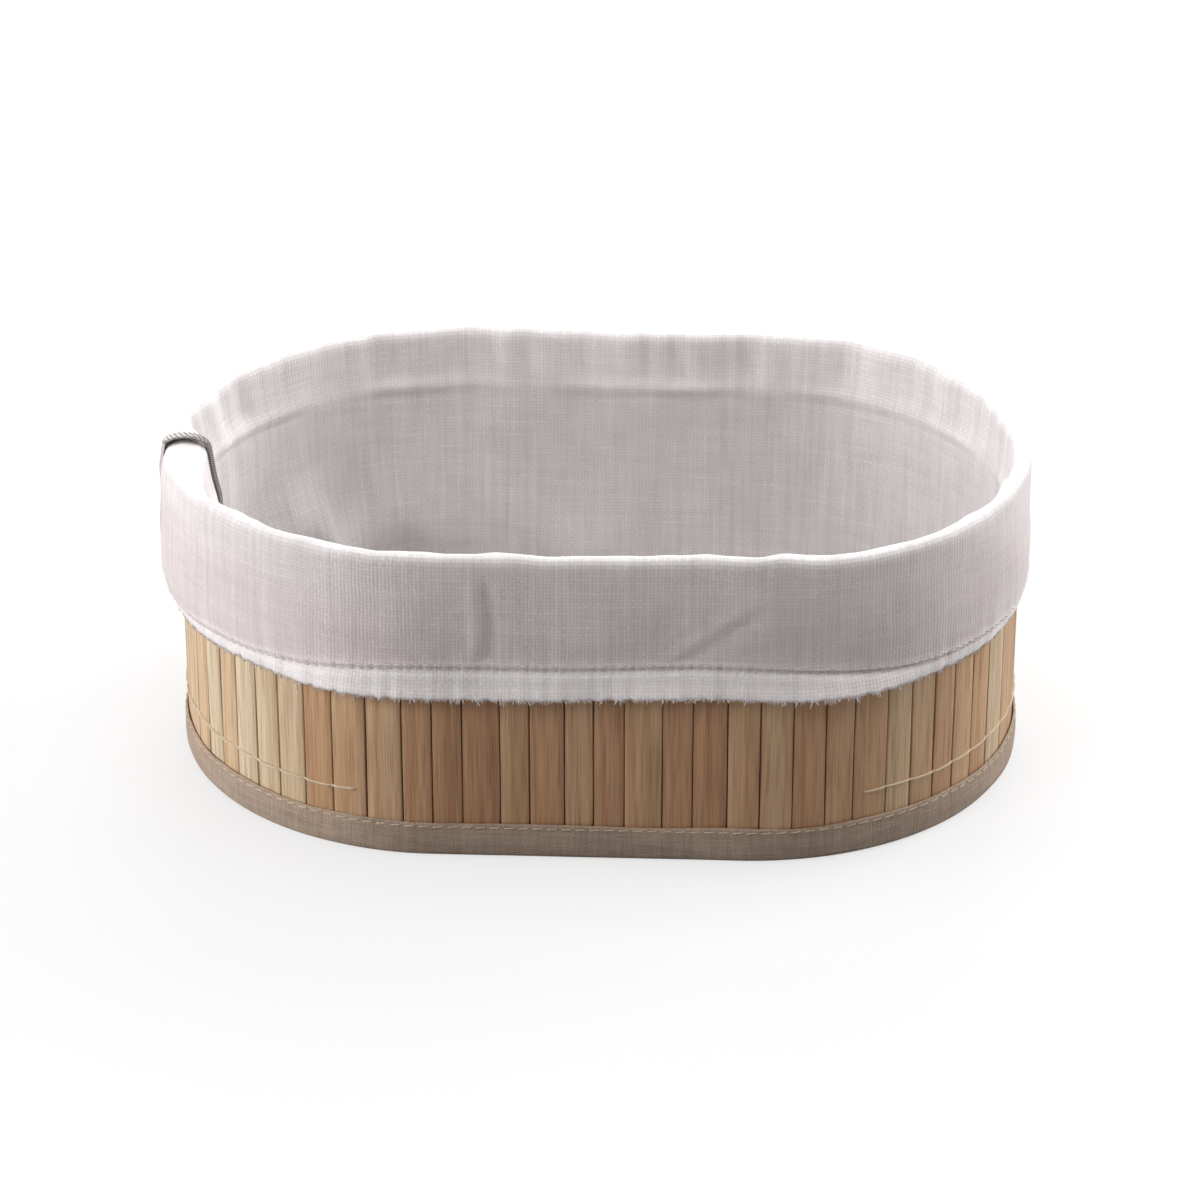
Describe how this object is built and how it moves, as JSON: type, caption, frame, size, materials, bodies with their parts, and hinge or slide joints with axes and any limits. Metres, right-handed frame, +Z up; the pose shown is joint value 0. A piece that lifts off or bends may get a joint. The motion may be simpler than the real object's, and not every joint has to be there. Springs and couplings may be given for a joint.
{
  "type": "banneton basket",
  "caption": "Oval bread basket: a wall of upright bamboo slats bound with tape on a stiff base, with a lift-out linen liner whose top turns down over the rim as a cuff.",
  "frame": {"origin": "middle of the base, on the surface that the basket stands on", "axes": "+X along the oval's long way, with the liner's side seam at the -X end; +Y to the back; +Z up"},
  "size_m": [0.287, 0.187, 0.108],
  "materials": {
    "bamboo": "satin, split bamboo with fine upright grain, each slat its own shade",
    "binding_tape": "woven taupe tape",
    "backing_cloth": "coarse unbleached cotton",
    "pale_thread": "twisted cotton thread",
    "board": "plain fibreboard",
    "liner_linen": "soft open plain weave with slubs",
    "liner_yarn": "loose linen yarn",
    "label_cotton": "smooth cotton twill, plain"
  },
  "bodies": {
    "basket": {"slats_01": "bamboo", "slats_02": "bamboo", "slats_03": "bamboo", "slats_04": "bamboo", "slats_05": "bamboo", "slats_06": "bamboo", "slats_07": "bamboo", "slats_08": "bamboo", "slats_09": "bamboo", "slats_10": "bamboo", "slats_11": "bamboo", "slats_12": "bamboo", "slats_13": "bamboo", "slats_14": "bamboo", "slats_15": "bamboo", "slats_16": "bamboo", "slats_17": "bamboo", "slats_18": "bamboo", "slats_19": "bamboo", "slats_20": "bamboo", "slats_21": "bamboo", "slats_22": "bamboo", "slats_23": "bamboo", "slats_24": "bamboo", "wall_backing": "backing_cloth", "top_binding": "binding_tape", "bottom_binding": "binding_tape", "top_stitching": "pale_thread", "bottom_stitching": "pale_thread", "upper_tie_thread": "pale_thread", "lower_tie_thread": "pale_thread", "base_board": "board", "base_cover": "backing_cloth"},
    "liner": {"liner_band": "liner_linen", "liner_floor": "liner_linen", "floor_seam": "liner_linen", "side_seam": "liner_linen", "hem_fringe": "liner_yarn", "hem_stitching": "liner_yarn", "round_label": "label_cotton"}
  },
  "joints": [
    {"name": "liner_lift", "type": "slide", "parent": "basket", "child": "liner", "axis": [0, 0, 1], "range_m": [0, 0.1]}
  ]
}
